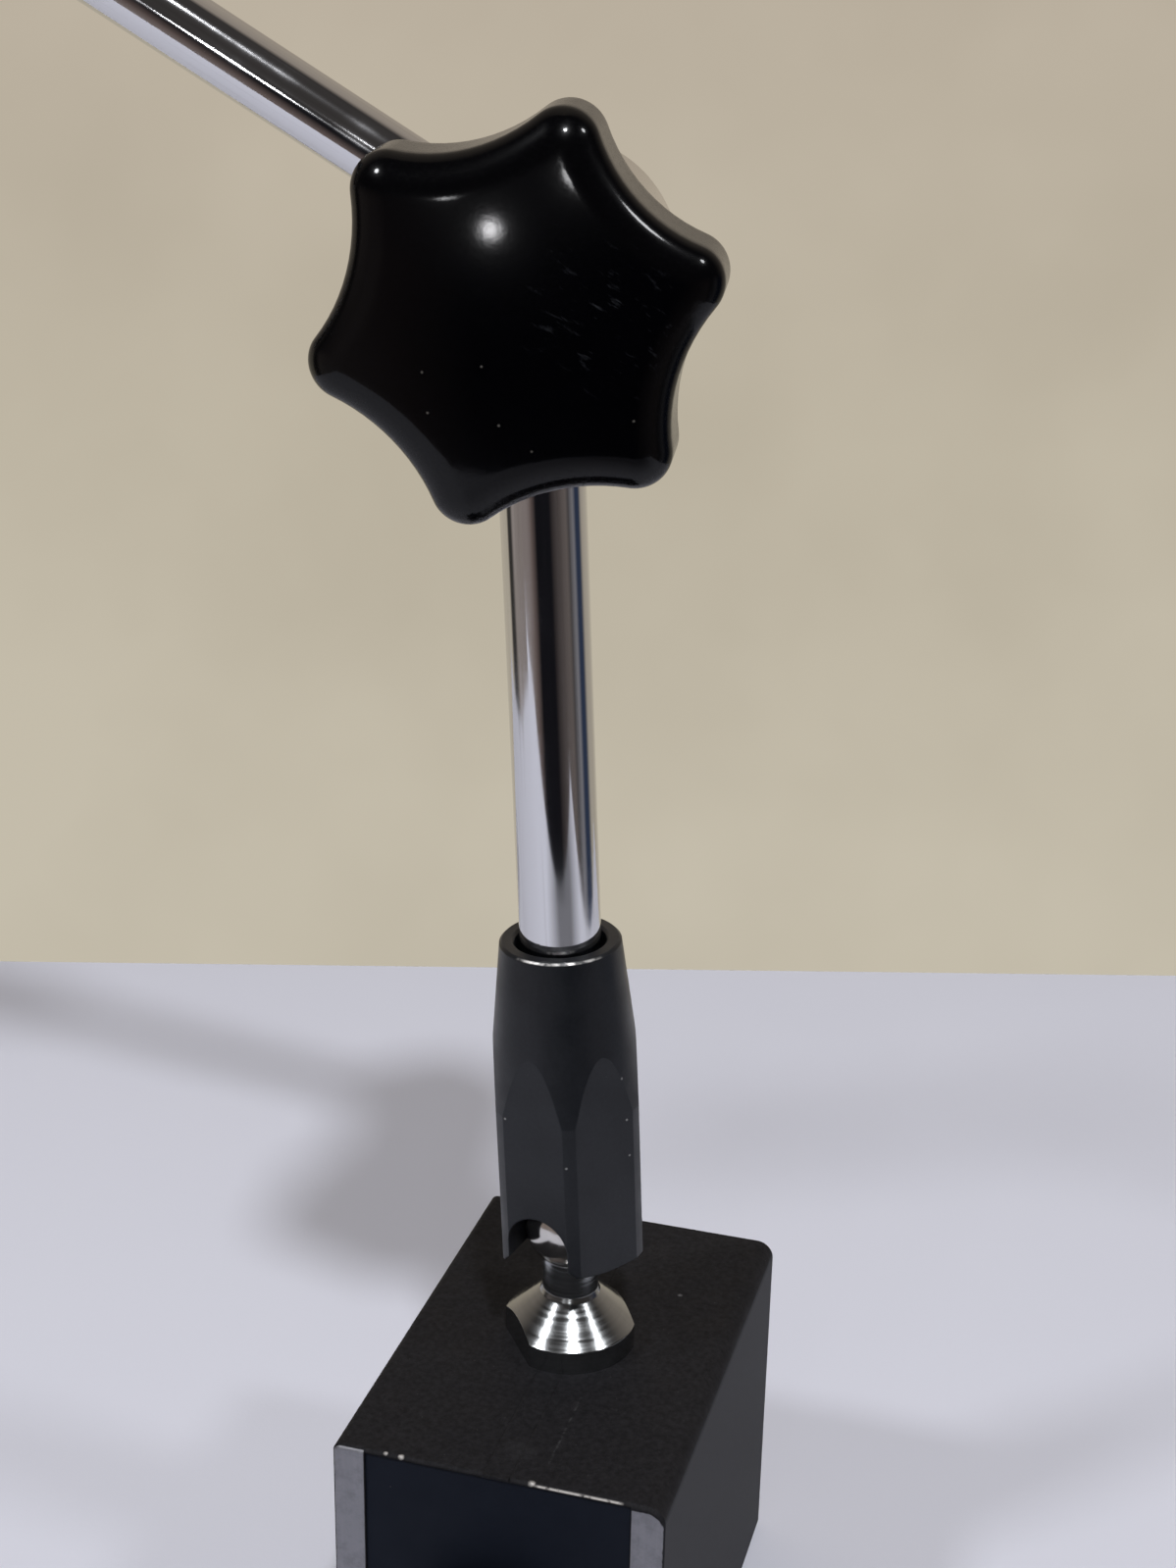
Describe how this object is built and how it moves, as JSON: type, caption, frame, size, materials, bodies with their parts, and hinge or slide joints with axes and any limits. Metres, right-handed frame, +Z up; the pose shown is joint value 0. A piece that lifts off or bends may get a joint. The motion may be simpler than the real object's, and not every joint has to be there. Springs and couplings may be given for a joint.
{
  "type": "magnetic indicator stand",
  "caption": "Switchable magnetic base with two hinged arms, ball joints and a central locking star knob, ending in a finely adjustable clamp for a dial indicator.",
  "frame": {"origin": "centre of the base's bottom face, in the mouth of its V-groove", "axes": "+Z up from the resting face, +X to the right seen from the switch knob's end, -Y towards the switch knob's end"},
  "size_m": [0.215, 0.0898, 0.2967],
  "materials": {
    "pole_iron": "matte black, ground bare on the front and rear faces",
    "spacer_brass": "blackened over",
    "panel_paint": "dark blue, satin",
    "rear_panel_paint": "dark, satin",
    "screw_steel": "bright",
    "bush_brass": "turned",
    "magnet": "ground magnet",
    "soft_iron": "turned",
    "switch_shaft": "turned",
    "switch_knob": "satin black",
    "polished_steel": "polished",
    "sleeve_finish": "dark blue-grey, satin",
    "tube_chrome": "polished",
    "inner_steel": "turned",
    "elbow_steel": "turned and polished",
    "washer_steel": "ground",
    "bolt_steel": "turned",
    "spring_steel": "drawn wire",
    "knob_black": "glossy black",
    "holder_black": "black, satin",
    "knurled_steel": "knurled"
  },
  "bodies": {
    "base": {"left_pole_block": "pole_iron", "right_pole_block": "pole_iron", "upper_spacer": "spacer_brass", "lower_spacer": "spacer_brass", "front_panel": "panel_paint", "rear_panel": "rear_panel_paint", "rear_panel_screws": "screw_steel", "front_bush": "bush_brass", "lower_ball_stud": "polished_steel"},
    "switch": {"rotor_magnet": "magnet", "rotor_shoes": "soft_iron", "switch_shaft": "switch_shaft", "rear_journal": "soft_iron", "switch_knob": "switch_knob", "switch_knob_screw": "screw_steel"},
    "lower_swivel": {"lower_ball": "polished_steel"},
    "lower_arm": {"lower_sleeve": "sleeve_finish", "lower_tube": "tube_chrome", "lower_knuckle": "elbow_steel", "elbow_washer": "washer_steel", "release_spring": "spring_steel"},
    "lower_push": {"lower_thrust_cup": "inner_steel", "lower_push_rod": "inner_steel"},
    "front_slide": {"front_wedge": "inner_steel", "knob_washer": "washer_steel"},
    "clamp_knob": {"star_knob": "knob_black", "knob_insert": "bush_brass"},
    "rear_slide": {"rear_wedge": "inner_steel", "draw_bolt": "bolt_steel"},
    "upper_arm": {"upper_sleeve": "sleeve_finish", "upper_tube": "tube_chrome", "upper_knuckle": "elbow_steel"},
    "upper_push": {"upper_thrust_cup": "inner_steel", "upper_push_rod": "inner_steel"},
    "upper_tilt": {"upper_ball": "polished_steel"},
    "holder": {"upper_ball_stud": "polished_steel", "holder_fork": "holder_black", "hinge_pin": "screw_steel", "adjust_spring": "spring_steel"},
    "fine_screw": {"adjust_screw": "knurled_steel"},
    "fine_lever": {"adjust_lever": "holder_black"},
    "clamp": {"indicator_clamp": "holder_black"},
    "clamp_tightener": {"clamp_screw": "knurled_steel"}
  },
  "joints": [
    {"name": "switch_turn", "type": "hinge", "parent": "base", "child": "switch", "pos_m": [0, -0.0365, 0.0285], "axis": [0, 1, 0], "range_deg": [0, 90]},
    {"name": "lower_swivel_turn", "type": "hinge", "parent": "base", "child": "lower_swivel", "pos_m": [0, 0, 0.0787], "axis": [0, 0, 1], "continuous": true},
    {"name": "lower_fold", "type": "hinge", "parent": "lower_swivel", "child": "lower_arm", "pos_m": [0, 0, 0.0787], "axis": [0.978, -0.2043, 0.0428], "range_deg": [-7, 90]},
    {"name": "lower_push_slide", "type": "slide", "parent": "lower_arm", "child": "lower_push", "axis": [-0.0474, -0.018, 0.9987], "range_m": [0, 0.0002]},
    {"name": "front_release", "type": "slide", "parent": "lower_arm", "child": "front_slide", "axis": [0.1912, -0.9815, -0.0086], "range_m": [0, 0.00076]},
    {"name": "knob_turn", "type": "hinge", "parent": "front_slide", "child": "clamp_knob", "pos_m": [-0.00666, -0.00252, 0.21892], "axis": [0.1912, -0.9815, -0.0086], "range_deg": [0, 360]},
    {"name": "rear_release", "type": "slide", "parent": "lower_arm", "child": "rear_slide", "axis": [-0.1912, 0.9815, 0.0086], "range_m": [0, 0.00076]},
    {"name": "elbow_turn", "type": "hinge", "parent": "lower_arm", "child": "upper_arm", "pos_m": [-0.01121, 0.02084, 0.21912], "axis": [0.1912, -0.9815, -0.0086], "range_deg": [-186, 74]},
    {"name": "upper_push_slide", "type": "slide", "parent": "upper_arm", "child": "upper_push", "axis": [0.8402, 0.1682, -0.5155], "range_m": [0, 0.0002]},
    {"name": "upper_fold", "type": "hinge", "parent": "upper_arm", "child": "upper_tilt", "pos_m": [-0.12212, -0.00136, 0.28717], "axis": [0.1963, -0.9805, 0], "range_deg": [-81, 17]},
    {"name": "holder_roll", "type": "hinge", "parent": "upper_tilt", "child": "holder", "pos_m": [-0.12212, -0.00136, 0.28717], "axis": [-0.7057, -0.1413, -0.6943], "continuous": true},
    {"name": "fine_screw_turn", "type": "hinge", "parent": "holder", "child": "fine_screw", "pos_m": [-0.15755, -0.00845, 0.25232], "axis": [0.6807, 0.1363, -0.7197], "range_deg": [0, 720]},
    {"name": "fine_lever_swing", "type": "hinge", "parent": "holder", "child": "fine_lever", "pos_m": [-0.14582, -0.00611, 0.26872], "axis": [0.1963, -0.9805, 0], "range_deg": [-4.1, 0]},
    {"name": "clamp_turn", "type": "hinge", "parent": "fine_lever", "child": "clamp", "pos_m": [-0.16743, -0.01043, 0.2426], "axis": [-0.6807, -0.1363, 0.7197], "continuous": true},
    {"name": "clamp_screw_turn", "type": "hinge", "parent": "fine_lever", "child": "clamp_tightener", "pos_m": [-0.16743, -0.01043, 0.2426], "axis": [0.6807, 0.1363, -0.7197], "range_deg": [0, 360]}
  ],
  "couplings": [
    {"joint": "front_release", "follows": "knob_turn", "m_per_rad": 0.00011937},
    {"joint": "rear_release", "follows": "knob_turn", "m_per_rad": 0.00011937},
    {"joint": "lower_push_slide", "follows": "knob_turn", "m_per_rad": 0.000029761},
    {"joint": "upper_push_slide", "follows": "knob_turn", "m_per_rad": 0.000029761},
    {"joint": "fine_lever_swing", "follows": "fine_screw_turn", "ratio": -0.0055704}
  ]
}
